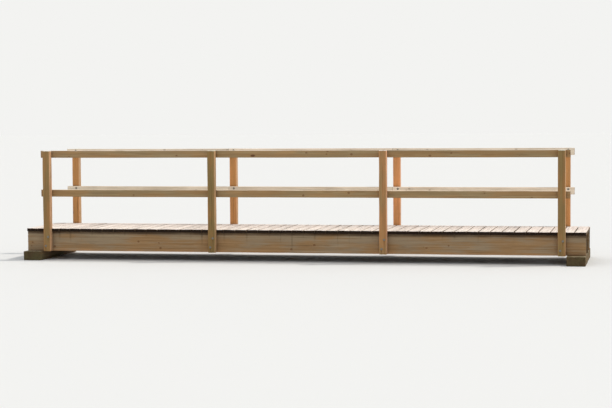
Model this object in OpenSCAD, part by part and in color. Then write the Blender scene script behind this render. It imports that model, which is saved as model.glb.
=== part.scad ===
// Timber beam footbridge in three bays, with square side posts, a handrail and a mid rail.
// Frame: X along the bridge, Y across it with the front side at -Y, Z up.
// The origin is on the ground under the middle of the bridge. All sizes are millimetres.

/* [Span] */
// Distance between post centres along the bridge
bay = 2400; // [1800:50:3000]
// Run of the beams and deck past the centre of each end post
end_run = 320; // [310:10:600]

/* [Beams] */
// Depth of each main beam
beam_h = 275; // [200:5:400]
// Thickness of each main beam
beam_t = 100; // [75:5:150]
// Width over the outer faces of the two side beams
beams_w = 1150; // [800:10:1800]
// Radius on the long edges of the beams and the sills
beam_r = 3; // [1:0.5:10]

/* [Cross pieces] */
// Depth of the cross pieces between the beams
cross_h = 200; // [100:5:240]
// Thickness of the cross pieces
cross_t = 75; // [45:5:100]
// Step from a post's side to the nearer face of its cross pieces
cross_step = 40; // [20:5:120]

/* [Bank sills] */
// Width of each sill, along the bridge
sill_w = 250; // [150:5:260]
// Height of each sill
sill_h = 125; // [75:5:250]
// Run of a sill past the outer faces of the posts
sill_run = 75; // [10:5:300]

/* [Posts] */
// Side of a square post
post_s = 100; // [75:5:120]
// Radius on the long edges of a post
post_r = 4; // [1:0.5:10]
// Bevel round the top of a post
post_bevel = 6; // [2:1:15]

/* [Rails] */
// Height of the handrail's top above the deck
hand_top = 1100; // [900:10:1300]
// Height of the mid rail's top above the deck
mid_top = 550; // [350:10:750]
// Depth of the handrail
hand_h = 100; // [70:5:130]
// Depth of the mid rail
mid_h = 100; // [70:5:130]
// Thickness of both rails
rail_t = 50; // [38:1:75]
// Radius on the long edges of the rails
rail_r = 7; // [2:1:12]
// Run of the rails past the sides of the end posts
rail_run = 60; // [0:5:150]
// Length of the half-lap joint between two lengths of rail
lap = 100; // [60:5:180]
// Open joint at each shoulder of a half-lap
lap_gap = 3; // [1:0.5:6]

/* [Deck] */
// Width of a deck board
board_w = 150; // [100:5:220]
// Thickness of a deck board
board_t = 40; // [28:1:75]
// Gap wanted between two boards, adjusted to fill the length with whole boards
board_gap = 10; // [4:1:18]
// Run of the board ends past the outer faces of the beams
board_run = 25; // [10:1:60]
// Bevel on the upper long edges of a board
board_bevel = 3; // [1:0.5:6]
// Clearance between a post and the notch round it
notch_gap = 3; // [1:0.5:8]

/* [Hidden] */
BAYS = ["left", "middle", "right"];
SIDES = ["front", "back"];
POST_N = len(BAYS) + 1;
POSTS = [1:POST_N];
GROUP_N = 7;
GROUPS = [1:GROUP_N];

// Colours
beam_col = [0.51, 0.42, 0.31];
cross_col = [0.45, 0.38, 0.29];
sill_col = [0.33, 0.28, 0.22];
post_col = [0.52, 0.43, 0.29];
rail_col = [0.54, 0.45, 0.33];
deck_col = [0.80, 0.74, 0.67];

// Levels, from the ground up
beam_z = sill_h;
deck_z = beam_z + beam_h;
walk_z = deck_z + board_t;
post_h = walk_z + hand_top - beam_z;

// Along the bridge
beam_len = len(BAYS) * bay + 2 * end_run;
post_x = [for (i = POSTS) (i - 1 - len(BAYS) / 2) * bay];
rail_end_x = post_x[POST_N - 1] + post_s / 2 + rail_run;

// Across the bridge, from the middle line outwards
beam_face_y = beams_w / 2;
post_face_y = beam_face_y + post_s;
deck_end_y = beam_face_y + board_run;
inner_gap = (beams_w - 3 * beam_t) / 2;

// Deck boards: whole boards, with the gap between them adjusted to fill the length
board_n = round((beam_len + board_gap) / (board_w + board_gap));
board_pitch = (beam_len - board_w) / (board_n - 1);

ARC_STEPS = 3;
CUT = 5;

// Puts a front-side piece on the front or, mirrored, on the back
module on_side(s) {
    if (s == "front") children();
    else mirror([0, 1, 0]) children();
}

// Points of a w by h rectangle from the origin, with its corners rounded to radius r
function rounded(w, h, r) = [
    for (c = [[w - r, h - r, 0], [r, h - r, 90], [r, r, 180], [w - r, r, 270]])
        for (k = [0:ARC_STEPS])
            [c[0] + r * cos(c[2] + 90 * k / ARC_STEPS), c[1] + r * sin(c[2] + 90 * k / ARC_STEPS)]
];

// Points of a w by h rectangle from the origin, with its two upper corners bevelled by b
function bevelled(w, h, b) = [[0, 0], [w, 0], [w, h - b], [w - b, h], [b, h], [0, h - b]];

// A bar along X from x0 to x1 whose section starts at y, z
module bar_x(x0, x1, y, z, section) {
    translate([x0, y, z]) rotate([90, 0, 90]) linear_extrude(x1 - x0) polygon(section);
}

// One main beam, with y at its middle
module beam(y) {
    color(beam_col)
        bar_x(-beam_len / 2, beam_len / 2, y - beam_t / 2, beam_z, rounded(beam_t, beam_h, beam_r));
}

module side_beam(s) {
    on_side(s) beam(beam_t / 2 - beam_face_y);
}

module middle_beam() {
    beam(0);
}

// The two cross pieces beside post pair i, each between the middle beam and a side beam.
// They stand on the side of the posts that is nearer the middle of the bridge.
module cross_pieces(i) {
    inward = -sign(post_x[i - 1]);
    mid_x = post_x[i - 1] + inward * (post_s / 2 + cross_step + cross_t / 2);
    color(cross_col) for (s = SIDES) on_side(s)
        translate([mid_x - cross_t / 2, -beam_t / 2 - inner_gap, beam_z + (beam_h - cross_h) / 2])
            cube([cross_t, inner_gap, cross_h]);
}

// A sill under the beam ends, at the left for end -1 and at the right for end 1
module bank_sill(end) {
    half_y = post_face_y + sill_run;
    mid_x = end * (beam_len - sill_w) / 2;
    color(sill_col) translate([mid_x + sill_w / 2, 0, 0]) rotate([0, 0, 90])
        bar_x(-half_y, half_y, 0, 0, rounded(sill_w, sill_h, beam_r));
}

// Post i of a side: it stands against the side beam, flush with the beam's underside
module post(s, i) {
    color(post_col) on_side(s) translate([post_x[i - 1] - post_s / 2, -post_face_y, beam_z])
        intersection() {
            linear_extrude(post_h) polygon(rounded(post_s, post_s, post_r));
            bar_x(0, post_s, 0, 0, bevelled(post_s, post_h, post_bevel));
            translate([post_s, 0, 0]) rotate([0, 0, 90])
                bar_x(0, post_s, 0, 0, bevelled(post_s, post_h, post_bevel));
        }
}

// One length of rail on the inner faces of a side's posts, with its top at z.
// Two lengths meet over a post in a half-lap: the left one keeps its half against the post.
module rail(s, b, z, h) {
    k = search([b], BAYS)[0];
    first = k == 0;
    last = k == len(BAYS) - 1;
    tongue = (lap - lap_gap) / 2;
    shoulder = (lap + lap_gap) / 2;
    x0 = first ? -rail_end_x : post_x[k] - tongue;
    x1 = last ? rail_end_x : post_x[k + 1] + tongue;
    color(rail_col) on_side(s) difference() {
        bar_x(x0, x1, -beam_face_y, z - h, rounded(rail_t, h, rail_r));
        if (!first) translate([x0 - CUT, -beam_face_y - CUT, z - h - CUT])
            cube([CUT + tongue + shoulder, rail_t / 2 + CUT, h + 2 * CUT]);
        if (!last) translate([post_x[k + 1] - shoulder, rail_t / 2 - beam_face_y, z - h - CUT])
            cube([shoulder + tongue + CUT, rail_t / 2 + CUT, h + 2 * CUT]);
    }
}

// Deck board k, counted from 0 at the left end, notched round every post that it meets
module deck_board(k) {
    x = -beam_len / 2 + k * board_pitch;
    reach = post_s / 2 + notch_gap;
    color(deck_col) difference() {
        translate([x + board_w, -deck_end_y, deck_z]) rotate([0, 0, 90])
            bar_x(0, 2 * deck_end_y, 0, 0, bevelled(board_w, board_t, board_bevel));
        for (p = post_x) if (p + reach > x && p - reach < x + board_w)
            for (s = SIDES) on_side(s)
                translate([p - reach, -deck_end_y - CUT, deck_z - CUT])
                    cube([2 * reach, CUT + board_run + notch_gap, board_t + 2 * CUT]);
    }
}

// Group g of neighbouring deck boards
module deck_boards(g) {
    for (k = [floor((g - 1) * board_n / GROUP_N):floor(g * board_n / GROUP_N) - 1]) deck_board(k);
}

for (s = SIDES) side_beam(s);
middle_beam();
for (i = POSTS) cross_pieces(i);
bank_sill(-1);  // left_bank_sill
bank_sill(1);  // right_bank_sill
for (s = SIDES, i = POSTS) post(s, i);
for (s = SIDES, b = BAYS) rail(s, b, walk_z + hand_top, hand_h);
for (s = SIDES, b = BAYS) rail(s, b, walk_z + mid_top, mid_h);
for (g = GROUPS) deck_boards(g);
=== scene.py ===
import random
from math import cos, pi, radians, sin, tau
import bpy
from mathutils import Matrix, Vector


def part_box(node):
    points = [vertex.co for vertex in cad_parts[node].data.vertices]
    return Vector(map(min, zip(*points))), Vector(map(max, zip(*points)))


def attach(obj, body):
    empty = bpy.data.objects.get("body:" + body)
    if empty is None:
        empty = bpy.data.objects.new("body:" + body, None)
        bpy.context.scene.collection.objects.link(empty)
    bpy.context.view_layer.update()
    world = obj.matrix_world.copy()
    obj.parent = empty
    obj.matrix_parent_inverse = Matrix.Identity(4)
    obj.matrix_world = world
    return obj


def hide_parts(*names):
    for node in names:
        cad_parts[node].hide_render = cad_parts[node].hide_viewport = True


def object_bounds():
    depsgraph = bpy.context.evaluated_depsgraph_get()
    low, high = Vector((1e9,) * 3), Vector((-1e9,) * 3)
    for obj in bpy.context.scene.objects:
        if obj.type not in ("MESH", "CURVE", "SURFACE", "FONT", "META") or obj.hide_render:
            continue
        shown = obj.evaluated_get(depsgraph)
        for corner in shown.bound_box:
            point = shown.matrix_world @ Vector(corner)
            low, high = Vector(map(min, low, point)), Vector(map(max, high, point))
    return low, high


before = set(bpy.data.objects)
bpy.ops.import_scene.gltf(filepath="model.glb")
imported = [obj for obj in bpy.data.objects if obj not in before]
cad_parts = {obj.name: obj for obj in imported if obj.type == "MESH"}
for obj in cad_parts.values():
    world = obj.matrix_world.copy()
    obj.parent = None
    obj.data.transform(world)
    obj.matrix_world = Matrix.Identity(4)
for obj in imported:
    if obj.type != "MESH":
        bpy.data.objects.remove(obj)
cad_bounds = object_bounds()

from types import SimpleNamespace

import bmesh
import bpy
from mathutils import Matrix, Vector, noise

# Weathered timber footbridge. Lengths are metres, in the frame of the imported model:
# X along the bridge, Y across it with the front side at -Y, Z up.

BODY = "root"
X, Y, Z = range(3)

# Points nearer to each other than WELD are one, and faces that meet at less than FLAT are one flat face
WELD, FLAT = 1e-5, radians(1)


def srgb(red, green, blue):
    """A colour given as it looks on a screen, 0 to 255, as the linear RGBA that Blender takes."""
    def linear(value):
        value /= 255
        return value / 12.92 if value <= 0.04045 else ((value + 0.055) / 1.055) ** 2.4
    return (linear(red), linear(green), linear(blue), 1.0)


def solids_of(node):
    """The separate solids of a CAD node, each as (points, faces), with its flat faces whole."""
    mesh = bmesh.new()
    mesh.from_mesh(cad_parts[node].data)
    bmesh.ops.remove_doubles(mesh, verts=mesh.verts, dist=WELD)
    bmesh.ops.dissolve_limit(mesh, angle_limit=FLAT, verts=mesh.verts, edges=mesh.edges)
    mesh.verts.index_update()
    left = set(mesh.verts)
    found = []
    while left:
        start = min(left, key=lambda v: v.index)
        island, reach = {start}, [start]
        while reach:
            for edge in reach.pop().link_edges:
                for vert in edge.verts:
                    if vert not in island:
                        island.add(vert)
                        reach.append(vert)
        left -= island
        verts = sorted(island, key=lambda v: v.index)
        number = {v: i for i, v in enumerate(verts)}
        faces = [[number[v] for v in f.verts] for f in mesh.faces if f.verts[0] in island]
        found.append(([v.co.copy() for v in verts], faces))
    mesh.free()
    return sorted(found, key=lambda part: min(p.x for p in part[0]))


# Names of the CAD nodes, and places of the fixings

SIDES = ("front", "back")
BAYS = ("left", "middle", "right")
POSTS = range(1, 5)
DECK_GROUPS = range(1, 8)
# A post's two bolts: how far from the post's middle, and how far up the beam as a share of its depth
BOLT_SPOTS = ((-0.018, 0.27), (0.018, 0.73))
# A board's two screws over each beam, as shares of its width
SCREW_SHARES = (0.22, 0.78)

# Measures, all read from the CAD nodes

post_boxes = {(s, i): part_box(f"{s}_post_{i}") for s in SIDES for i in POSTS}
post_xs = [(post_boxes["front", i][0].x + post_boxes["front", i][1].x) / 2 for i in POSTS]
bay = post_xs[1] - post_xs[0]
beam_low, beam_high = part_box("front_beam")
beam_top = beam_high.z
beam_y = abs(beam_low.y + beam_high.y) / 2
bolt_places = [(offset, beam_low.z + share * (beam_high.z - beam_low.z)) for offset, share in BOLT_SPOTS]
mid_rail_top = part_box("front_mid_rail_middle")[1].z
deck_parts = {g: solids_of(f"deck_boards_{g}") for g in DECK_GROUPS}
board_starts = sorted(min(p.x for p in points) for parts in deck_parts.values() for points, _ in parts)
first_board_x = board_starts[0]
board_pitch = (board_starts[-1] - first_board_x) / (len(board_starts) - 1)
board_width = max(p.x for p in deck_parts[1][0][0]) - first_board_x
first_gap_x = first_board_x + (board_width + board_pitch) / 2


# Node trees

class Tree:
    """The nodes of one material or world. The methods below feed() add a node and return its output."""

    def __init__(self, owner):
        owner.use_nodes = True
        self.nodes = owner.node_tree.nodes
        self.links = owner.node_tree.links
        self.nodes.clear()

    def add(self, kind, **settings):
        node = self.nodes.new(kind)
        for key, value in settings.items():
            setattr(node, key, value)
        return node

    def feed(self, socket, value):
        if isinstance(value, bpy.types.NodeSocket):
            self.links.new(value, socket)
        elif value is not None:
            socket.default_value = value

    def math(self, operation, *values):
        node = self.add("ShaderNodeMath", operation=operation)
        for socket, value in zip(node.inputs, values):
            self.feed(socket, value)
        return node.outputs[0]

    def plus(self, a, b):
        return self.math("ADD", a, b)

    def minus(self, a, b):
        return self.math("SUBTRACT", a, b)

    def times(self, a, b):
        return self.math("MULTIPLY", a, b)

    def vector(self, operation, *values, output=0):
        node = self.add("ShaderNodeVectorMath", operation=operation)
        for socket, value in zip(node.inputs, values):
            self.feed(socket, value)
        return node.outputs[output]

    def remap(self, value, low, high, to_low=0.0, to_high=1.0):
        """Takes value from the range low to high to another, smoothly, and holds it at both ends."""
        node = self.add("ShaderNodeMapRange", interpolation_type="SMOOTHSTEP")
        for socket, item in zip(node.inputs, (value, low, high, to_low, to_high)):
            self.feed(socket, item)
        return node.outputs[0]

    def mix(self, factor, a, b, blend="MIX"):
        """Two colours mixed. The node's sockets 6 and 7 take them, and its output 2 gives the result."""
        node = self.add("ShaderNodeMix", data_type="RGBA", blend_type=blend)
        self.feed(node.inputs["Factor"], factor)
        self.feed(node.inputs[6], a)
        self.feed(node.inputs[7], b)
        return node.outputs[2]

    def noise(self, vector, stretch, detail=2.0, rough=0.5, coloured=False):
        """Noise with one scale per axis: stretch is in cells per metre."""
        scaled = self.vector("MULTIPLY", vector, stretch)
        node = self.add("ShaderNodeTexNoise")
        self.feed(node.inputs["Vector"], scaled)
        node.inputs["Scale"].default_value = 1.0
        node.inputs["Detail"].default_value = detail
        node.inputs["Roughness"].default_value = rough
        return node.outputs[1 if coloured else 0]

    def split(self, vector):
        node = self.add("ShaderNodeSeparateXYZ")
        self.feed(node.inputs[0], vector)
        return node.outputs

    def join(self, x, y, z):
        node = self.add("ShaderNodeCombineXYZ")
        for socket, value in zip(node.inputs, (x, y, z)):
            self.feed(socket, value)
        return node.outputs[0]

    def attribute(self, name, output="Fac"):
        return self.add("ShaderNodeAttribute", attribute_name=name).outputs[output]


# Timber material

# warm and grey are the two ends of an outer face's patchy weathering. walk is painted light on a face
# that looks onto the walkway: paler and warmer, as if lit by the sunlit deck while the outer faces stand
# in shade. top is a face that the sky bleaches, painted near white as painted sunlight too, and cut is end
# grain.
# dark and light are what the darkest and the palest timbers of the kind are multiplied by, and edge is the
# same for worn edges. lines and hairs say how far late wood and hairline cracks darken the wood, from 0 to
# 1, and rare is how rare the cracks are. sky says how far up a face looks, as the height of its normal,
# where bleaching and painted sunlight start and where they are full.
LOOKS = {
    "post": dict(warm=srgb(172, 129, 84), grey=srgb(150, 124, 84), walk=srgb(222, 158, 103),
                 top=srgb(252, 249, 241), cut=srgb(150, 126, 98),
                 dark=(0.83, 0.86, 0.72, 1.0), light=(1.2, 1.12, 1.1, 1.0),
                 edge=(1.25, 1.18, 1.26, 1.0), lines=0.2, hairs=0.4, rare=0.66, sky=(0.35, 0.85)),
    "rail": dict(warm=srgb(170, 136, 94), grey=srgb(160, 137, 101), walk=srgb(255, 240, 218),
                 top=srgb(252, 242, 226), cut=srgb(128, 102, 72),
                 dark=(0.92, 0.93, 0.9, 1.0), light=(1.08, 1.05, 1.04, 1.0),
                 edge=(1.1, 1.06, 1.06, 1.0), lines=0.16, hairs=0.36, rare=0.66, sky=(0.55, 0.9)),
    "beam": dict(warm=srgb(164, 129, 89), grey=srgb(159, 138, 110), walk=srgb(150, 124, 92),
                 top=srgb(204, 188, 164), cut=srgb(104, 82, 58),
                 dark=(0.9, 0.9, 0.9, 1.0), light=(1.1, 1.1, 1.1, 1.0),
                 edge=(1.3, 1.2, 1.25, 1.0), lines=0.15, hairs=0.36, rare=0.66, sky=(0.35, 0.85)),
    "deck": dict(warm=srgb(118, 94, 70), grey=srgb(112, 98, 80), walk=srgb(118, 94, 70),
                 top=srgb(255, 244, 234), cut=srgb(42, 27, 15),
                 dark=(0.96, 0.945, 0.93, 1.0), light=(1.11, 1.1, 1.085, 1.0),
                 edge=(0.9, 0.86, 0.83, 1.0), lines=0.18, hairs=0.42, rare=0.61, sky=(0.35, 0.85)),
    "hidden": dict(warm=srgb(128, 100, 68), grey=srgb(122, 104, 80), walk=srgb(128, 100, 68),
                   top=srgb(158, 142, 118), cut=srgb(98, 78, 54),
                   dark=(0.86, 0.88, 0.82, 1.0), light=(1.12, 1.08, 1.06, 1.0),
                   edge=(1.15, 1.12, 1.12, 1.0), lines=0.15, hairs=0.36, rare=0.66, sky=(0.35, 0.85)),
}

# How far a face onto the walkway takes the painted light called walk, by the sign of the Y direction
# in which it looks: the photo shows those that look towards -Y
WALK_LIGHT_SHARES = {1: 0.7, -1: 1.0, 0: 0.0}
# How far the posts' faces that look along the bridge take that painted light, and how far those that
# look to the right, towards the sun, are painted paler as painted sunlight
POST_SIDE_LIGHT, POST_RIGHT_SUNLIGHT = 0.75, 0.15
# What the bleached tops of the mid rails, which bleach less than the handrails, are multiplied by
MID_RAIL_TOP = (1.0, 0.96, 0.9, 1.0)
# How far end grain darkens the late wood beyond lines, how dark its splits are, and how much less of
# both it shows where the sky has bleached it
END_LINES, END_SPLITS, END_BLEACHED = 0.16, 0.45, 0.5

# Colours of the marks on the wood, and of the shade painted under the boards, where pieces meet and at the
# bottom of the cracks
KNOT_PALE, KNOT_DARK, KNOT_RIM = srgb(134, 88, 54), srgb(100, 64, 40), srgb(70, 46, 30)
BIG_KNOT, RUST, DRIPS = srgb(84, 44, 28), srgb(84, 58, 36), srgb(82, 70, 52)
EAVES_SHADE, SCREW_HALO, DAMP = srgb(58, 42, 26), srgb(88, 74, 60), srgb(92, 92, 58)
OCCLUSION_SHADE, CRACK_SHADE = srgb(60, 46, 30), srgb(32, 22, 14)
# What the beams' lower edges, painted paler as light thrown up from below, and the deck's top, painted
# darker over its middle and far part as painted shade, are multiplied by
BEAM_FOOT_LIGHT, DECK_SHADE = (1.28, 1.2, 1.16, 1.0), (0.74, 0.67, 0.66, 1.0)

# The width of a year's ring, and how far the pith wanders
RING_WIDTH, PITH_WANDER = 0.0058, 0.03
# How many knots there may be in a metre of the log and in a radian round it, the radius of the
# largest, their width as a share of their length, and how far the rings swell round them
KNOTS_ALONG, KNOTS_ROUND = 3.2, 1.1
KNOT_SIZE, KNOT_SQUEEZE, KNOT_SWELL = 0.0115, 0.72, 0.009
# The large knot of the front handrail: its place from the bridge's middle and the rail's foot, and
# half its length and height
BIG_KNOT_PLACE, BIG_KNOT_SIZE = (-0.626, 0.026), (0.034, 0.016)

# The rust below a bolt: half its width at the top, how fast that shrinks, and where it fades out
RUST_WIDTH, RUST_TAPER, RUST_LENGTH = 0.012, 0.05, 0.11
# The least and most that drips on the beams reach to each side and down, and half the width of the
# one long stain
DRIP_WIDTHS, DRIP_LENGTHS, LONG_STAIN = (0.006, 0.026), (0.05, 0.25), 0.024
# How far below the beams' top the painted shade under the boards' overhang has ended, and where it is full
EAVES_END, EAVES_FULL = 0.053, 0.018
# The inner and outer radius of the halo round a deck screw
HALO_RADII = (0.0035, 0.014)
# How near to each other pieces get painted shade where they meet, and how high the grain's relief is
OCCLUSION_REACH, RELIEF = 0.07, 0.0016


def growth(tree, place, facing):
    """The rings and knots of a log, cut by whatever face the point lies on. facing is how far the face
    looks away from the pith, from 0 to 1. Returns late wood, the inside of a knot, its rings and its
    dark rim, each 0 to 1, the angle round the pith and the distance from it."""
    wander = tree.noise(place, (1.3, 3.0, 3.0), coloured=True)
    wander = tree.vector("SUBTRACT", wander, (0.5, 0.5, 0.5))
    wander = tree.vector("MULTIPLY", wander, (0.0, PITH_WANDER, PITH_WANDER))
    bent = tree.split(tree.vector("ADD", place, wander))
    radius = tree.vector("LENGTH", tree.join(0.0, bent[1], bent[2]), output=1)
    angle = tree.math("ARCTAN2", bent[2], bent[1])

    # A knot is a cone from the pith outwards. Each cell along and round the log may have one.
    cells = tree.join(tree.times(bent[0], KNOTS_ALONG), tree.times(angle, KNOTS_ROUND), 0.0)
    branch = tree.add("ShaderNodeTexVoronoi", voronoi_dimensions="2D", feature="F1")
    tree.feed(branch.inputs["Vector"], cells)
    branch.inputs["Scale"].default_value = 1.0
    centre = tree.split(branch.outputs["Position"])
    chance = tree.split(branch.outputs["Color"])
    along = tree.minus(bent[0], tree.math("DIVIDE", centre[0], KNOTS_ALONG))
    across = tree.minus(angle, tree.math("DIVIDE", centre[1], KNOTS_ROUND))
    across = tree.times(across, radius)
    along = tree.times(along, KNOT_SQUEEZE)
    apart = tree.vector("LENGTH", tree.join(along, across, 0.0), output=1)
    size = tree.remap(chance[0], 0.7, 1.0, 0.0, KNOT_SIZE)
    ripple = tree.noise(place, (60.0, 60.0, 60.0))
    share = tree.math("DIVIDE", apart, tree.math("MAXIMUM", size, 0.001))
    share = tree.plus(share, tree.times(tree.minus(ripple, 0.5), 0.5))
    there = tree.times(tree.remap(size, 0.002, 0.004), facing)
    knot = tree.times(tree.remap(share, 0.85, 1.05, 1.0, 0.0), there)
    rim = tree.remap(tree.math("ABSOLUTE", tree.minus(share, 1.0)), 0.0, 0.22, 1.0, 0.0)
    rim = tree.times(rim, there)
    turns = tree.times(tree.math("SINE", tree.times(share, 16.0)), 0.5)
    turns = tree.plus(turns, 0.5)

    swell = tree.remap(share, 0.8, 3.6, 1.0, 0.0)
    swell = tree.times(tree.times(swell, there), KNOT_SWELL)
    ring = tree.math("FRACT", tree.math("DIVIDE", tree.plus(radius, swell), RING_WIDTH))
    late = tree.times(tree.remap(ring, 0.3, 0.92), tree.remap(ring, 1.0, 0.95))
    return late, knot, turns, rim, angle, radius


def near_bolts(tree, where):
    """Rust that has run down from the two bolts at the foot of each post."""
    along = tree.plus(tree.minus(where[0], post_xs[0]), bay / 2)
    along = tree.minus(tree.math("MODULO", along, bay), bay / 2)
    stain = 0.0
    for offset, height in bolt_places:
        aside = tree.math("ABSOLUTE", tree.minus(along, offset))
        below = tree.minus(height, where[2])
        run = tree.remap(below, 0.01, RUST_LENGTH, 1.0, 0.0)
        run = tree.times(tree.remap(below, -RUST_WIDTH, 0.0), run)
        width = tree.plus(RUST_WIDTH, tree.times(below, -RUST_TAPER))
        here = tree.remap(aside, tree.times(width, 0.4), width, 1.0, 0.0)
        stain = tree.math("MAXIMUM", stain, tree.times(here, run))
    return stain


def near_gaps(tree, where, place):
    """Dirt that has run down the beams from the gaps between the deck boards."""
    count = tree.math("DIVIDE", tree.minus(where[0], first_gap_x), board_pitch)
    count = tree.plus(count, 0.5)
    aside = tree.minus(tree.math("FRACT", count), 0.5)
    wobble = tree.minus(tree.noise(tree.join(*where), (0.0, 0.0, 11.0), rough=0.6), 0.5)
    aside = tree.math("ABSOLUTE", tree.plus(tree.times(aside, board_pitch), tree.times(wobble, 0.02)))
    chance = tree.add("ShaderNodeTexWhiteNoise", noise_dimensions="1D")
    tree.feed(chance.inputs["W"], tree.math("FLOOR", count))
    draw = tree.split(chance.outputs["Color"])
    width = tree.remap(draw[0], 0.0, 1.0, *DRIP_WIDTHS)
    length = tree.remap(draw[1], 0.0, 1.0, *DRIP_LENGTHS)
    below = tree.minus(beam_top, where[2])
    run = tree.times(tree.remap(aside, 0.0, width, 1.0, 0.0), tree.remap(below, 0.0, length, 1.0, 0.0))
    run = tree.times(run, draw[2])

    # The photo shows one long stain, under the gap just left of the middle
    middle = tree.plus(tree.plus(where[0], board_pitch / 2), tree.times(wobble, 0.012))
    long_run = tree.remap(tree.math("ABSOLUTE", middle), 0.0, LONG_STAIN, 0.6, 0.0)
    long_run = tree.times(long_run, tree.remap(below, 0.12, 0.27, 1.0, 0.15))
    smear = tree.noise(place, (4.0, 60.0, 60.0), detail=3.0, rough=0.6)
    return tree.times(tree.math("MAXIMUM", run, long_run), tree.remap(smear, 0.3, 0.6, 0.5, 1.0))


def near_screws(tree, where):
    """Dark halos round the deck screws."""
    along = tree.math("DIVIDE", tree.minus(where[0], first_board_x), board_pitch)
    along = tree.times(tree.math("FRACT", along), board_pitch)
    aside = tree.math("MINIMUM", *[tree.math("ABSOLUTE", tree.minus(along, share * board_width))
                                   for share in SCREW_SHARES])
    across = tree.math("ABSOLUTE", where[1])
    across = tree.math("MINIMUM", across, tree.math("ABSOLUTE", tree.minus(across, beam_y)))
    apart = tree.vector("LENGTH", tree.join(aside, across, 0.0), output=1)
    return tree.remap(apart, *HALO_RADII, 1.0, 0.0)


def big_knot(tree, where):
    """The dark knot low in the front handrail, left of the middle of the open bay."""
    low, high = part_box("front_handrail_middle")
    aside = tree.minus(where[0], BIG_KNOT_PLACE[0])
    above = tree.minus(where[2], low.z + BIG_KNOT_PLACE[1])
    aside, above = (tree.math("DIVIDE", step, size) for step, size in zip((aside, above), BIG_KNOT_SIZE))
    share = tree.vector("LENGTH", tree.join(aside, above, 0.0), output=1)
    spot = tree.remap(share, 0.75, 1.15, 1.0, 0.0)
    return tree.times(spot, tree.math("LESS_THAN", where[1], low.y + 0.01))


def patterns(tree, kind):
    """What a timber's surface is like at each point, pattern by pattern. The mesh carries where the
    point lies in its own timber: grain is that place with X along the grain and the pith at Y = Z = 0,
    radial points away from the pith, tone is one number a timber, end marks end grain, walk the
    faces onto the walkway and the posts' sides, which take painted light, edge the long edges, and check
    the bottom of a drying crack. Of the patterns, mottle, patch and streak are spots and streaks of three
    sizes, hair is hairline cracks, split is the splits of end grain, open_grain is how far end grain shows
    its rings and splits, and up, down and right say how far the face looks that way."""
    look = LOOKS[kind]
    at = SimpleNamespace()
    at.place = place = tree.attribute("grain", "Vector")
    radial = tree.vector("NORMALIZE", tree.attribute("radial", "Vector"))
    for name in ("tone", "end", "walk", "edge", "check"):
        setattr(at, name, tree.attribute(name))
    at.where = tree.split(tree.add("ShaderNodeTexCoord").outputs["Object"])
    normal = tree.add("ShaderNodeNewGeometry").outputs["Normal"]
    rightwards, _, upwards = tree.split(normal)

    at.mottle = tree.noise(place, (3.0, 14.0, 14.0), detail=3.0, rough=0.6)
    at.patch = tree.noise(place, (1.9, 7.0, 7.0), detail=3.0, rough=0.55)
    at.streak = tree.noise(place, (1.1, 46.0, 46.0), detail=3.0, rough=0.6)
    at.fibre = tree.noise(place, (7.0, 420.0, 420.0), rough=0.6)
    hair = tree.noise(place, (0.9, 150.0, 150.0), detail=1.0, rough=0.4)
    at.hair = tree.remap(hair, look["rare"], look["rare"] + 0.08)
    patchy = tree.times(tree.minus(at.mottle, 0.5), 0.4)
    at.up = tree.remap(tree.plus(upwards, patchy), *look["sky"])
    at.down = tree.remap(upwards, -0.3, -0.9)
    at.right = tree.remap(rightwards, 0.5, 0.8)
    outward = tree.math("ABSOLUTE", tree.vector("DOT_PRODUCT", normal, radial, output=1))
    outward = tree.remap(outward, 0.4, 0.62)
    at.late, at.knot, at.turns, at.rim, angle, radius = growth(tree, place, outward)

    shown = tree.minus(1.0, tree.times(at.up, END_BLEACHED))
    at.open_grain = tree.times(at.end, shown)
    rays = tree.noise(tree.join(angle, radius, at.tone), (7.0, 4.0, 90.0), detail=3.0, rough=0.7)
    at.split = tree.remap(tree.math("ABSOLUTE", tree.minus(rays, 0.5)), 0.0, 0.03, 1.0, 0.0)
    at.split = tree.times(at.split, at.open_grain)
    return at


def weathered(tree, at, kind):
    """The colour that the weather has left on a face, before its grain."""
    look = LOOKS[kind]
    weather = tree.plus(at.patch, tree.times(tree.minus(at.streak, 0.5), 0.5))
    if kind == "beam":
        weather = tree.plus(weather, tree.remap(at.where[2], beam_top - 0.24, beam_top, -0.05, 0.07))
    colour = tree.mix(tree.remap(weather, 0.36, 0.64), look["warm"], look["grey"])
    # Faces onto the walkway, and the posts' sides, take painted light: paler and warmer than the shaded
    # outer faces
    inner = tree.mix(tree.remap(weather, 0.3, 0.75, 0.0, 0.38), look["walk"], look["grey"])
    colour = tree.mix(at.walk, colour, inner)
    # Tops are bleached by the sky, and painted near white as painted sunlight as well
    bleached_and_sunlit = tree.mix(tree.remap(at.mottle, 0.4, 0.8, 0.0, 0.16), look["top"], look["grey"])
    # Painted sunlight: the posts' faces that look to the right, towards the sun, are paler
    if kind == "post":
        colour = tree.mix(tree.times(at.right, POST_RIGHT_SUNLIGHT), colour, bleached_and_sunlit)
    if kind == "rail":
        sheltered = tree.math("LESS_THAN", at.where[2], mid_rail_top + 0.1)
        warmer = tree.mix(1.0, bleached_and_sunlit, MID_RAIL_TOP, "MULTIPLY")
        bleached_and_sunlit = tree.mix(sheltered, bleached_and_sunlit, warmer)
    colour = tree.mix(tree.times(at.down, 0.4), colour, look["cut"])
    colour = tree.mix(at.end, colour, look["cut"])
    colour = tree.mix(at.up, colour, bleached_and_sunlit)
    tint = tree.mix(at.tone, look["dark"], look["light"])
    colour = tree.mix(1.0, colour, tint, "MULTIPLY")
    worn = tree.times(at.edge, tree.remap(at.mottle, 0.3, 0.65, 0.15, 0.8))
    return tree.mix(worn, colour, tree.mix(1.0, colour, look["edge"], "MULTIPLY"))


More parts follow.
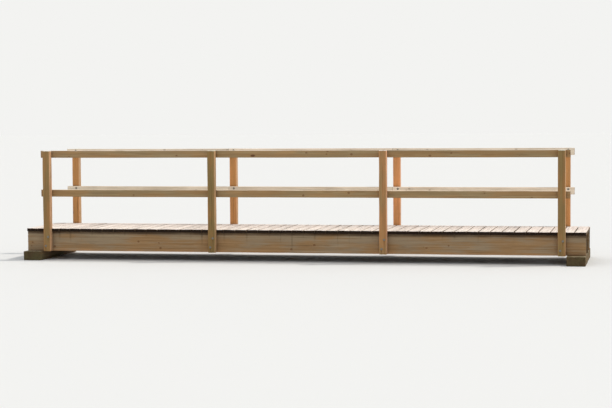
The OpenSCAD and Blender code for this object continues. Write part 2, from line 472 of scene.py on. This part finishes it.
def grained(tree, at, kind, colour):
    """The colour with late wood, streaks, fibres, hairline cracks, splits in the end grain, and knots."""
    look = LOOKS[kind]
    lines = tree.plus(look["lines"], tree.times(at.open_grain, END_LINES))
    shade = tree.minus(1.0, tree.times(at.late, lines))
    shade = tree.times(shade, tree.remap(at.streak, 0.3, 0.7, 0.88, 1.11))
    shade = tree.times(shade, tree.remap(at.fibre, 0.3, 0.7, 0.94, 1.06))
    for gap, depth in ((at.hair, look["hairs"]), (at.split, END_SPLITS)):
        shade = tree.times(shade, tree.minus(1.0, tree.times(gap, depth)))
    colour = tree.mix(1.0, colour, tree.join(shade, shade, shade), "MULTIPLY")

    pale = tree.minus(1.0, tree.times(tree.math("MAXIMUM", at.up, at.walk), 0.42))
    heart = tree.mix(at.turns, KNOT_PALE, KNOT_DARK)
    colour = tree.mix(tree.times(tree.times(at.knot, pale), 0.66), colour, heart)
    return tree.mix(tree.times(tree.times(at.rim, pale), 0.5), colour, KNOT_RIM)


def stained(tree, at, kind, colour):
    """The colour with stains, damp near the ground, painted light on the beams' lower edges, and painted
    shade under the boards, over the deck's middle and far part, where pieces meet and at the bottom of the
    cracks.
    """
    if kind == "post":
        colour = tree.mix(tree.times(near_bolts(tree, at.where), 0.5), colour, RUST)
    if kind == "rail":
        colour = tree.mix(tree.times(big_knot(tree, at.where), 0.8), colour, BIG_KNOT)
    if kind == "beam":
        drips = near_gaps(tree, at.where, at.place)
        colour = tree.mix(tree.times(drips, 0.6), colour, DRIPS)
        # Painted light: the beams' lower edges are paler, as if lit from below
        foot = tree.remap(at.where[2], beam_low.z, beam_low.z + 0.06, 0.8, 0.0)
        colour = tree.mix(foot, colour, tree.mix(1.0, colour, BEAM_FOOT_LIGHT, "MULTIPLY"))
        # Painted shade: the beams' top under the boards' overhang is darker
        overhang_shade = tree.remap(at.where[2], beam_top - EAVES_END, beam_top - EAVES_FULL, 0.0, 0.8)
        overhang_shade = tree.times(overhang_shade, tree.remap(at.mottle, 0.25, 0.6, 0.6, 1.0))
        colour = tree.mix(overhang_shade, colour, EAVES_SHADE)
    if kind == "deck":
        # Painted shade: the middle and far part of the deck's top is darker and more mauve, as if in shade
        across = tree.plus(at.where[1], tree.times(tree.minus(at.patch, 0.5), 0.25))
        far_shade = tree.times(tree.remap(across, -0.32, 0.02), tree.remap(across, 0.4, 0.75, 1.0, 0.4))
        far_shade = tree.times(far_shade, tree.times(at.up, 0.32))
        colour = tree.mix(far_shade, colour, tree.mix(1.0, colour, DECK_SHADE, "MULTIPLY"))
        halo = tree.times(near_screws(tree, at.where), at.up)
        colour = tree.mix(tree.times(halo, 0.42), colour, SCREW_HALO)
    damp = tree.times(tree.remap(at.where[2], 0.2, 0.0, 0.0, 0.5), tree.remap(at.patch, 0.35, 0.6))
    colour = tree.mix(damp, colour, DAMP)
    # Painted shade: darker where other pieces come near, read from the ambient occlusion
    meeting = tree.add("ShaderNodeAmbientOcclusion", samples=6)
    meeting.inputs["Distance"].default_value = OCCLUSION_REACH
    meeting_shade = tree.remap(meeting.outputs["AO"], 0.2, 0.9, 0.5, 0.0)
    colour = tree.mix(meeting_shade, colour, OCCLUSION_SHADE)
    # Painted shade: the bottoms of the drying cracks are near black
    return tree.mix(at.check, colour, CRACK_SHADE)


def relief(tree, at):
    """The normal of a surface that the grain, knots and cracks have roughened."""
    height = tree.times(at.late, 0.35)
    marks = ((at.fibre, 0.9), (at.streak, 1.4), (at.knot, 0.7), (at.hair, -0.9), (at.split, -1.2))
    for pattern, share in marks:
        height = tree.plus(height, tree.times(pattern, share))
    bump = tree.add("ShaderNodeBump")
    bump.inputs["Strength"].default_value = 0.6
    bump.inputs["Distance"].default_value = RELIEF
    tree.feed(bump.inputs["Height"], height)
    return bump.outputs[0]


def timber(kind):
    """Sawn softwood left out in the weather."""
    material = bpy.data.materials.new(kind + "_timber")
    tree = Tree(material)
    at = patterns(tree, kind)
    colour = stained(tree, at, kind, grained(tree, at, kind, weathered(tree, at, kind)))
    shader = tree.add("ShaderNodeBsdfPrincipled")
    tree.feed(shader.inputs["Base Color"], colour)
    tree.feed(shader.inputs["Roughness"], tree.remap(at.streak, 0.2, 0.8, 0.92, 0.74))
    tree.feed(shader.inputs["Normal"], relief(tree, at))
    shader.inputs["Specular IOR Level"].default_value = 0.2
    output = tree.add("ShaderNodeOutputMaterial")
    tree.links.new(shader.outputs[0], output.inputs[0])
    return material


def galvanised():
    """Dull zinc with pale bloom and a little rust."""
    material = bpy.data.materials.new("galvanised_steel")
    tree = Tree(material)
    place = tree.add("ShaderNodeTexCoord").outputs["Object"]
    bloom = tree.noise(place, (160.0, 160.0, 160.0), detail=3.0, rough=0.6)
    rust = tree.remap(tree.noise(place, (60.0, 60.0, 60.0), detail=4.0, rough=0.65), 0.56, 0.7)
    colour = tree.mix(bloom, srgb(108, 104, 96), srgb(158, 153, 143))
    colour = tree.mix(rust, colour, srgb(112, 70, 42))
    shader = tree.add("ShaderNodeBsdfPrincipled")
    tree.feed(shader.inputs["Base Color"], colour)
    tree.feed(shader.inputs["Roughness"], tree.remap(bloom, 0.3, 0.7, 0.45, 0.68))
    tree.feed(shader.inputs["Metallic"], tree.remap(rust, 0.0, 1.0, 0.75, 0.0))
    output = tree.add("ShaderNodeOutputMaterial")
    tree.links.new(shader.outputs[0], output.inputs[0])
    return material


MATERIALS = {kind: timber(kind) for kind in LOOKS}
STEEL = galvanised()


# Timber meshes, each made from its CAD node

# How near to a face, and to the middle line of a crack, a point counts as on it
ON_FACE, ON_LINE = 1e-4, 1e-5
# A face looks along an axis if this share of its normal lies along it
LOOKS_ALONG = 0.7
# How far from an edge the paler, worn wood reaches, and how far the chips
EDGE_BAND, CHIP_REACH = 0.02, 0.009
# How many lumps a sawn face has in a metre along and across the grain
LUMPS_ALONG, LUMPS_ACROSS = 1.7, 46
# Edges are drawn sharp where their faces meet at more than this
SHARP = radians(32)


def cut_across(mesh, axis, places):
    """Cuts the mesh by planes square to an axis, so that its faces can take a gentle shape."""
    normal = Vector((0.0, 0.0, 0.0))
    normal[axis] = 1.0
    for place in places:
        everything = list(mesh.verts) + list(mesh.edges) + list(mesh.faces)
        bmesh.ops.bisect_plane(mesh, geom=everything, dist=1e-6, plane_co=normal * place, plane_no=normal)


def spread(low, high, step):
    """Places from low to high, about a step apart, without the two ends."""
    count = max(1, round((high - low) / step))
    return [low + (high - low) * k / count for k in range(1, count)]


class Crack:
    """A drying crack along the grain, in the face at the sign end of the axis side. other is the axis
    across it, and across its place on that axis."""

    def __init__(self, side, sign, other, across, start, length, width, depth, drift):
        self.side, self.sign, self.other = side, sign, other
        self.across, self.start, self.length = across, start, length
        self.width, self.depth, self.drift = width, depth, drift

    def move(self, here, axis, face):
        """How far a point of the face moves to open the crack, and how deep in the crack it is."""
        share = (here[axis] - self.start) / self.length
        aside = here[self.other] - self.across
        if abs(here[self.side] - face) > ON_FACE or not 0 < share < 1 or abs(aside) > self.width * 0.6:
            return Vector((0.0, 0.0, 0.0)), 0.0
        wide = sin(pi * share) ** 0.6
        wave = noise.noise(Vector((here[axis] * 5, self.across * 90, 0)))
        step = Vector((0.0, 0.0, 0.0))
        step[self.other] = self.drift * sin(pi * share) * wave
        step[self.other] -= aside * (1 - wide) * 0.8
        if abs(aside) < ON_LINE:
            step[self.side] = -self.sign * self.depth * wide
            return step, wide
        return step, 0.0


class Timber:
    """One timber: its mesh, the axis of its grain, and its own random numbers. walkway is the sign of
    the Y direction in which its face looks onto the walkway, or 0. tone is how pale it is, from 0 to 1,
    and None draws it."""

    def __init__(self, part, axis, seed, walkway=0, tone=None):
        points, faces = part
        self.draw = random.Random(seed)
        self.axis, self.walkway = axis, walkway
        self.sides = [side for side in range(3) if side != axis]
        self.low = Vector([min(p[k] for p in points) for k in range(3)])
        self.high = Vector([max(p[k] for p in points) for k in range(3)])
        self.middle = (self.low + self.high) / 2
        self.half = (self.high - self.low) / 2
        self.across_grain = sorted(self.sides, key=lambda side: round(self.half[side], 3))
        self.mesh = bmesh.new()
        verts = [self.mesh.verts.new(p) for p in points]
        for face in faces:
            self.mesh.faces.new([verts[i] for i in face])
        self.mesh.normal_update()
        self.tone = self.draw.random() if tone is None else tone
        self.shift = self.draw.uniform(0.0, 40.0)
        self.cracks = []

    def refine(self, step, strip):
        """Cuts the faces into a grid: step along the grain, strip across it."""
        cut_across(self.mesh, self.axis, spread(self.low[self.axis], self.high[self.axis], step))
        for side in self.sides:
            cut_across(self.mesh, side, spread(self.low[side], self.high[side], strip))

    def crack(self, side, sign, offset, start, length, *, width, depth, drift=0.006):
        """Adds a crack, offset from the middle of its face, from start on along the grain."""
        other = [s for s in self.sides if s != side][0]
        across = self.middle[other] + offset
        self.cracks.append(Crack(side, sign, other, across, start, length, width, depth, drift))
        cut_across(self.mesh, other, [across - width / 2, across, across + width / 2])
        cut_across(self.mesh, self.axis, [start + length * k / 12 for k in range(13)])

    def mark_faces(self):
        """Marks the end grain, and how far each face takes the painted light of those onto the walkway."""
        mesh = self.mesh
        end = mesh.faces.layers.float.new("end")
        walk = mesh.faces.layers.float.new("walk")
        mesh.normal_update()
        for face in mesh.faces:
            face[end] = 1.0 if abs(face.normal[self.axis]) > LOOKS_ALONG else 0.0
            face[walk] = WALK_LIGHT_SHARES[self.walkway] if face.normal.y * self.walkway > LOOKS_ALONG else 0.0
            # The posts' sides that look along the bridge take the same painted light
            if self.axis == Z and abs(face.normal.x) > LOOKS_ALONG:
                face[walk] = POST_SIDE_LIGHT

    def mark_points(self):
        """Marks each point's place in the timber. The pith lies outside a broad face."""
        mesh, axis, half = self.mesh, self.axis, self.half
        thin, broad = self.across_grain
        grain = mesh.verts.layers.float_vector.new("grain")
        radial = mesh.verts.layers.float_vector.new("radial")
        tone = mesh.verts.layers.float.new("tone")
        edge = mesh.verts.layers.float.new("edge")
        pith_thin = half[thin] + self.draw.uniform(0.01, 0.05)
        pith_broad = self.draw.uniform(-0.6, 0.6) * half[broad]
        for vert in mesh.verts:
            local = vert.co - self.middle
            outwards = Vector((0.0, 0.0, 0.0))
            outwards[thin], outwards[broad] = local[thin] + pith_thin, local[broad] + pith_broad
            vert[grain] = (local[axis] + self.shift, local[thin] + pith_thin, local[broad] + pith_broad)
            vert[radial] = outwards
            vert[tone] = self.tone
            inset = [half[side] - abs(local[side]) for side in self.sides]
            vert[edge] = max(0.0, 1 - max(inset) / EDGE_BAND)

    def open_cracks(self, here, move):
        """Adds to the move of a point what opens the cracks. Returns how deep in a crack it lies."""
        deepest = 0.0
        for crack in self.cracks:
            face = (self.high if crack.sign > 0 else self.low)[crack.side]
            step, deep = crack.move(here, self.axis, face)
            move += step
            deepest = max(deepest, deep)
        return deepest

    def roughen(self, here, local, move, rough, wear):
        """Adds to the move of a point what makes sawn faces lumpy and chips the edges."""
        thin, broad = self.across_grain
        place = Vector((here[self.axis] * LUMPS_ALONG + self.shift, here[thin] * LUMPS_ACROSS,
                        here[broad] * LUMPS_ACROSS))
        for side in self.sides:
            lump = rough * noise.noise(place + Vector((0, 0, side * 9)))
            move[side] += lump * local[side] / self.half[side]
        bite = wear * max(0.0, noise.noise(place * 1.9 + Vector((31, 0, 0))) + 0.15)
        rims = [s for s in range(3) if self.half[s] - abs(local[s]) < CHIP_REACH]
        if len(rims) > 1:
            for side in rims:
                move[side] -= bite * (1 if local[side] > 0 else -1)

    def finish(self, bend, rough, wear, seated=False):
        """Marks the timber for its material, opens the cracks and lets the timber move: bend is how it
        moves as a whole, rough how lumpy its faces are and wear how deep its edges are chipped. A seated
        timber goes no lower than what it lies on."""
        self.mark_faces()
        self.mark_points()
        check = self.mesh.verts.layers.float.new("check")
        for vert in self.mesh.verts:
            here = vert.co.copy()
            local = here - self.middle
            move = Vector((0.0, 0.0, 0.0))
            vert[check] = self.open_cracks(here, move)
            self.roughen(here, local, move, rough, wear)
            vert.co = here + move + bend(here, local, self.half)
            if seated:
                vert.co.z = max(vert.co.z, self.low.z)
        return self.mesh


def to_piece(name, mesh, material, replaced=()):
    """A piece from a bmesh: smooth but for its sharp edges, riding on the bridge."""
    bmesh.ops.recalc_face_normals(mesh, faces=mesh.faces)
    data = bpy.data.meshes.new(name)
    mesh.to_mesh(data)
    mesh.free()
    data.polygons.foreach_set("use_smooth", [True] * len(data.polygons))
    data.set_sharp_from_angle(angle=SHARP)
    data.materials.append(material)
    piece = bpy.data.objects.new(name, data)
    bpy.context.scene.collection.objects.link(piece)
    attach(piece, BODY)
    if replaced:
        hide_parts(*replaced)


def timber_piece(node, kind, meshes):
    """Joins the timbers of a CAD node into the piece that stands for it."""
    joined = bmesh.new()
    for mesh in meshes:
        data = bpy.data.meshes.new("timber")
        mesh.to_mesh(data)
        mesh.free()
        joined.from_mesh(data)
        bpy.data.meshes.remove(data)
    to_piece(node + "_weathered", joined, MATERIALS[kind], [node])


def still(here, local, half):
    """The bend of a timber that has stayed straight."""
    return Vector((0.0, 0.0, 0.0))


# How pale each length of rail is, from 0 to 1 and from left to right
RAIL_TONES = {"front_handrail": (0.7, 0.55, 0.4), "back_handrail": (0.7, 0.9, 0.6),
              "front_mid_rail": (0.4, 0.5, 0.6), "back_mid_rail": (0.3, 0.52, 0.8)}


def make_rails():
    """Rails have cracks in a side and on top. They sag and sway a little between the posts, which hold
    them."""
    for s in SIDES:
        walkway = 1 if s == "front" else -1
        for level in ("handrail", "mid_rail"):
            for b, tone in zip(BAYS, RAIL_TONES[f"{s}_{level}"]):
                node = f"{s}_{level}_{b}"
                rail = Timber(solids_of(node)[0], X, node, walkway, tone)
                rail.refine(step=0.08, strip=0.02)
                draw = rail.draw
                for _ in range(draw.randint(1, 3)):
                    start = draw.uniform(rail.low.x + 0.2, rail.high.x - 1.0)
                    rail.crack(Y, draw.choice((-1, 1)), draw.uniform(-0.03, 0.03), start,
                               draw.uniform(0.3, 0.8), width=0.0025, depth=0.006)
                for _ in range(2):
                    start = draw.uniform(rail.low.x + 0.1, rail.high.x - 0.8)
                    rail.crack(Z, 1, draw.uniform(-0.012, 0.012), start, draw.uniform(0.3, 0.7),
                               width=0.003, depth=0.006, drift=0.003)
                sag, sway = draw.uniform(0.0, 0.002), draw.uniform(-0.003, 0.003)

                def bend(here, local, half):
                    free = sin(pi * (here.x - post_xs[0]) / bay) ** 2
                    return Vector((0.0, sway * free, -sag * free))
                timber_piece(node, "rail", [rail.finish(bend, rough=0.0007, wear=0.0022)])


# How pale each post is, likewise: the inner two of each side are those of the photo's open bay
POST_TONES = {"front": (0.45, 0.1, 0.92, 0.35), "back": (0.3, 0.42, 1.0, 0.42)}


def make_posts():
    """Posts have a crack in every side and stay straight."""
    for s in SIDES:
        walkway = 1 if s == "front" else -1
        for i in POSTS:
            node = f"{s}_post_{i}"
            post = Timber(solids_of(node)[0], Z, node, walkway, POST_TONES[s][i - 1])
            post.refine(step=0.07, strip=0.02)
            draw = post.draw
            for side in (X, Y):
                for sign in (-1, 1):
                    start = draw.uniform(post.low.z + 0.1, post.high.z - 0.95)
                    post.crack(side, sign, draw.uniform(-0.025, 0.025), start, draw.uniform(0.35, 0.85),
                               width=draw.uniform(0.002, 0.0045), depth=0.009)
            timber_piece(node, "post", [post.finish(still, rough=0.0008, wear=0.0024)])


def make_beams():
    """Beams have about one crack a metre and stay straight."""
    for node, kind in (("front_beam", "beam"), ("back_beam", "beam"), ("middle_beam", "hidden")):
        beam = Timber(solids_of(node)[0], X, node, tone=0.5)
        beam.refine(step=0.12, strip=0.04)
        draw = beam.draw
        for k in range(7):
            start = beam.low.x + 0.2 + k + draw.uniform(0, 0.4)
            beam.crack(Y, draw.choice((-1, 1)), draw.uniform(-0.09, 0.09), start,
                       draw.uniform(0.3, 0.9), width=0.003, depth=0.007, drift=0.012)
        timber_piece(node, kind, [beam.finish(still, rough=0.0008, wear=0.0025)])


def make_hidden():
    """The cross pieces between the beams, and the sills on the banks."""
    for i in POSTS:
        node = f"cross_pieces_{i}"
        meshes = []
        for k, part in enumerate(solids_of(node)):
            piece = Timber(part, Y, node + str(k))
            piece.refine(step=0.08, strip=0.04)
            meshes.append(piece.finish(still, rough=0.0006, wear=0.002))
        timber_piece(node, "hidden", meshes)
    for end in ("left", "right"):
        node = end + "_bank_sill"
        sill = Timber(solids_of(node)[0], Y, node)
        sill.refine(step=0.08, strip=0.03)
        draw = sill.draw
        for _ in range(4):
            start = draw.uniform(sill.low.y + 0.05, sill.high.y - 0.6)
            sill.crack(Z, 1, draw.uniform(-0.08, 0.08), start, draw.uniform(0.3, 0.5),
                       width=0.004, depth=0.009)
        mesh = sill.finish(still, rough=0.001, wear=0.004, seated=True)
        timber_piece(node, "hidden", [mesh])


def board_bend(draw):
    """Boards cup, twist, lie a little askew and end unevenly. Their undersides stay on the beams."""
    cup, twist = draw.uniform(-0.0016, 0.001), draw.uniform(-0.0014, 0.0014)
    aside, skew = draw.uniform(-0.001, 0.001), draw.uniform(-0.001, 0.001)
    stretch, slide = draw.uniform(-0.003, 0.003), draw.uniform(-0.003, 0.003)

    def bend(here, local, half):
        u, v = local.x / half.x, local.y / half.y
        lift = (local.z + half.z) / (2 * half.z)
        return Vector((aside + skew * v, stretch * v + slide, lift * (cup * (1 - u * u) + twist * u * v)))
    return bend


def make_deck():
    for g, parts in deck_parts.items():
        meshes = []
        for k, part in enumerate(parts):
            board = Timber(part, Y, f"board {g} {k}")
            board.refine(step=0.08, strip=0.03)
            draw = board.draw
            for end in (board.low.y, board.high.y):
                if draw.random() < 0.7:
                    length = draw.uniform(0.08, 0.3)
                    board.crack(Z, 1, draw.uniform(-0.05, 0.05), end - length / 2, length,
                                width=draw.uniform(0.002, 0.004), depth=0.008, drift=0.003)
            meshes.append(board.finish(board_bend(draw), rough=0.0006, wear=0.002, seated=True))
        timber_piece(f"deck_boards_{g}", "deck", meshes)


# Fixings

def lathe(mesh, centre, direction, profile, sides):
    """Turns a profile of (radius, height) points round an axis through centre."""
    turn = Vector((0, 0, 1)).rotation_difference(Vector(direction)).to_matrix().to_4x4()
    turn = Matrix.Translation(centre) @ turn
    rings = []
    for radius, height in profile:
        ring = [turn @ Vector((radius * cos(tau * k / sides), radius * sin(tau * k / sides), height))
                for k in range(sides)]
        rings.append([mesh.verts.new(p) for p in ring])
    for lower, upper in zip(rings, rings[1:]):
        for k in range(sides):
            mesh.faces.new((lower[k], lower[(k + 1) % sides], upper[(k + 1) % sides], upper[k]))
    mesh.faces.new(rings[-1])
    mesh.faces.new(rings[0][::-1])


def dome(radius, height):
    """The profile of a domed bolt head."""
    return [(radius, 0.0)] + [(radius * cos(a), height * (0.15 + 0.85 * sin(a)))
                              for a in (radians(d) for d in (0, 20, 40, 60, 78))]


def washer(radius, thick):
    """The profile of a washer, closed where its bolt goes through."""
    return [(radius, 0.0), (radius, thick * 0.7), (radius * 0.96, thick), (0.3 * radius, thick)]


def hexagon(across, thick, start):
    """The profile of a nut or a head that is turned with six sides."""
    corner = across / 2 / cos(pi / 6)
    return [(corner, start), (corner, start + thick * 0.85), (corner * 0.88, start + thick)]


def make_bolts():
    """Coach bolts through posts and side beams: domed heads outside, washers and nuts inside."""
    mesh = bmesh.new()
    head = dome(radius=0.0165, height=0.0085)
    plate = washer(radius=0.025, thick=0.003)
    nut = hexagon(across=0.019, thick=0.010, start=0.003)
    thread = [(0.006, 0.012), (0.006, 0.020)]
    for (s, i), (low, high) in post_boxes.items():
        out = -1 if s == "front" else 1
        face = low.y if s == "front" else high.y
        inner = out * min(abs(beam_low.y), abs(beam_high.y))
        for offset, z in bolt_places:
            x = (low.x + high.x) / 2 + offset
            lathe(mesh, (x, face, z), (0, out, 0), head, sides=20)
            for profile, sides in ((plate, 24), (nut, 6), (thread, 12)):
                lathe(mesh, (x, inner, z), (0, -out, 0), profile, sides)
    to_piece("post_bolts", mesh, STEEL)


def make_rail_screws():
    """Hexagon-headed coach screws with washers, from the walkway side through the rails into the posts."""
    mesh = bmesh.new()
    plate = washer(radius=0.015, thick=0.0025)
    head = hexagon(across=0.017, thick=0.0065, start=0.0025)
    for s in SIDES:
        inward = 1 if s == "front" else -1
        for level in ("handrail", "mid_rail"):
            low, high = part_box(f"{s}_{level}_middle")
            face = high.y if s == "front" else low.y
            for x in post_xs:
                for step in (-1, 1):
                    at = (x + step * 0.024, face, (low.z + high.z) / 2 + step * 0.022)
                    lathe(mesh, at, (0, inward, 0), plate, sides=20)
                    lathe(mesh, at, (0, inward, 0), head, sides=6)
    to_piece("rail_screws", mesh, STEEL)


def make_deck_screws():
    """Two screws a board into each beam, with their heads at the board's face."""
    mesh = bmesh.new()
    head = [(0.0045, 0.0), (0.0045, 0.0042), (0.0035, 0.0046)]
    for parts in deck_parts.values():
        for points, _ in parts:
            low_x, top = min(p.x for p in points), max(p.z for p in points)
            for y in (-beam_y, 0.0, beam_y):
                for share in SCREW_SHARES:
                    at = (low_x + share * board_width, y, top - 0.004)
                    lathe(mesh, at, (0, 0, 1), head, sides=10)
    to_piece("deck_screws", mesh, STEEL)


make_rails()
make_posts()
make_beams()
make_hidden()
make_deck()
make_bolts()
make_rail_screws()
make_deck_screws()


# Stage, light and camera

# The floor's own colour, and the background's, which is the colour that the lit floor shows
FLOOR, BACKGROUND = srgb(236, 236, 234), srgb(243, 243, 241)
# Half the length of the floor's sides
FLOOR_REACH = 120.0
# The eye's place along and across the bridge, and its height above the deck
EYE_X, EYE_Y, EYE_ABOVE_DECK = 4.925, -23.7, 1.665
# The photo shows rails and deck level, so the camera leans by this many degrees
LEVEL = -0.4
# How much of the picture's width the bridge fills
FILL = 0.93


def make_floor():
    mesh = bmesh.new()
    bmesh.ops.create_grid(mesh, x_segments=1, y_segments=1, size=FLOOR_REACH)
    data = bpy.data.meshes.new("floor")
    mesh.to_mesh(data)
    mesh.free()
    floor = bpy.data.objects.new("floor", data)
    bpy.context.scene.collection.objects.link(floor)
    material = bpy.data.materials.new("pale_floor")
    tree = Tree(material)
    shader = tree.add("ShaderNodeBsdfPrincipled")
    shader.inputs["Base Color"].default_value = FLOOR
    shader.inputs["Roughness"].default_value = 0.9
    shader.inputs["Specular IOR Level"].default_value = 0.1
    output = tree.add("ShaderNodeOutputMaterial")
    tree.links.new(shader.outputs[0], output.inputs[0])
    data.materials.append(material)


def make_sky():
    """A soft pale surround: the camera sees it plain, and the object is lit by it at a lower level."""
    world = bpy.data.worlds.new("surround")
    bpy.context.scene.world = world
    tree = Tree(world)
    seen = tree.add("ShaderNodeBackground")
    seen.inputs["Color"].default_value = BACKGROUND
    seen.inputs["Strength"].default_value = 1.0
    light = tree.add("ShaderNodeBackground")
    light.inputs["Color"].default_value = (0.93, 0.96, 1.0, 1.0)
    light.inputs["Strength"].default_value = 0.7
    path = tree.add("ShaderNodeLightPath")
    direct = tree.math("MAXIMUM", path.outputs["Is Camera Ray"], path.outputs["Is Glossy Ray"])
    direct = tree.math("MAXIMUM", direct, path.outputs["Is Transmission Ray"])
    mix = tree.add("ShaderNodeMixShader")
    tree.feed(mix.inputs[0], direct)
    tree.links.new(light.outputs[0], mix.inputs[1])
    tree.links.new(seen.outputs[0], mix.inputs[2])
    output = tree.add("ShaderNodeOutputWorld")
    tree.links.new(mix.outputs[0], output.inputs[0])


def make_sun():
    """A broad soft key from high on the right, a little behind the bridge as in the photo."""
    light = bpy.data.lights.new("key", "SUN")
    light.energy = 1.6
    light.angle = radians(5)
    light.color = (1.0, 0.95, 0.88)
    key = bpy.data.objects.new("key", light)
    bpy.context.scene.collection.objects.link(key)
    towards = Vector((0.54, 0.17, 0.82))
    key.rotation_euler = towards.to_track_quat("Z", "Y").to_euler()


def make_camera():
    """The photo's viewpoint: 23.7 m off and 4.9 m to the right of the middle, 1.67 m above the deck.
    The lens is longer than the photo's, so that the whole bridge fills the frame."""
    deck_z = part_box("deck_boards_4")[1].z
    low, high = cad_bounds
    centre = (low + high) / 2
    eye = Vector((EYE_X, EYE_Y, deck_z + EYE_ABOVE_DECK))
    data = bpy.data.cameras.new("camera")
    camera = bpy.data.objects.new("camera", data)
    bpy.context.scene.collection.objects.link(camera)
    camera.location = eye
    camera.rotation_euler = (centre - eye).to_track_quat("-Z", "Y").to_euler()
    camera.rotation_euler.rotate_axis("Z", radians(LEVEL))
    bpy.context.view_layer.update()
    inverse = camera.matrix_world.inverted()
    reach = 0.0
    for x in (low.x, high.x):
        for y in (low.y, high.y):
            for z in (low.z, high.z):
                seen = inverse @ Vector((x, y, z))
                reach = max(reach, abs(seen.x / seen.z))
    data.sensor_width = 36.0
    data.lens = data.sensor_width / 2 * FILL / reach
    data.clip_end = 500.0
    bpy.context.scene.camera = camera


make_floor()
make_sky()
make_sun()
make_camera()
bpy.context.scene.view_settings.view_transform = "Standard"
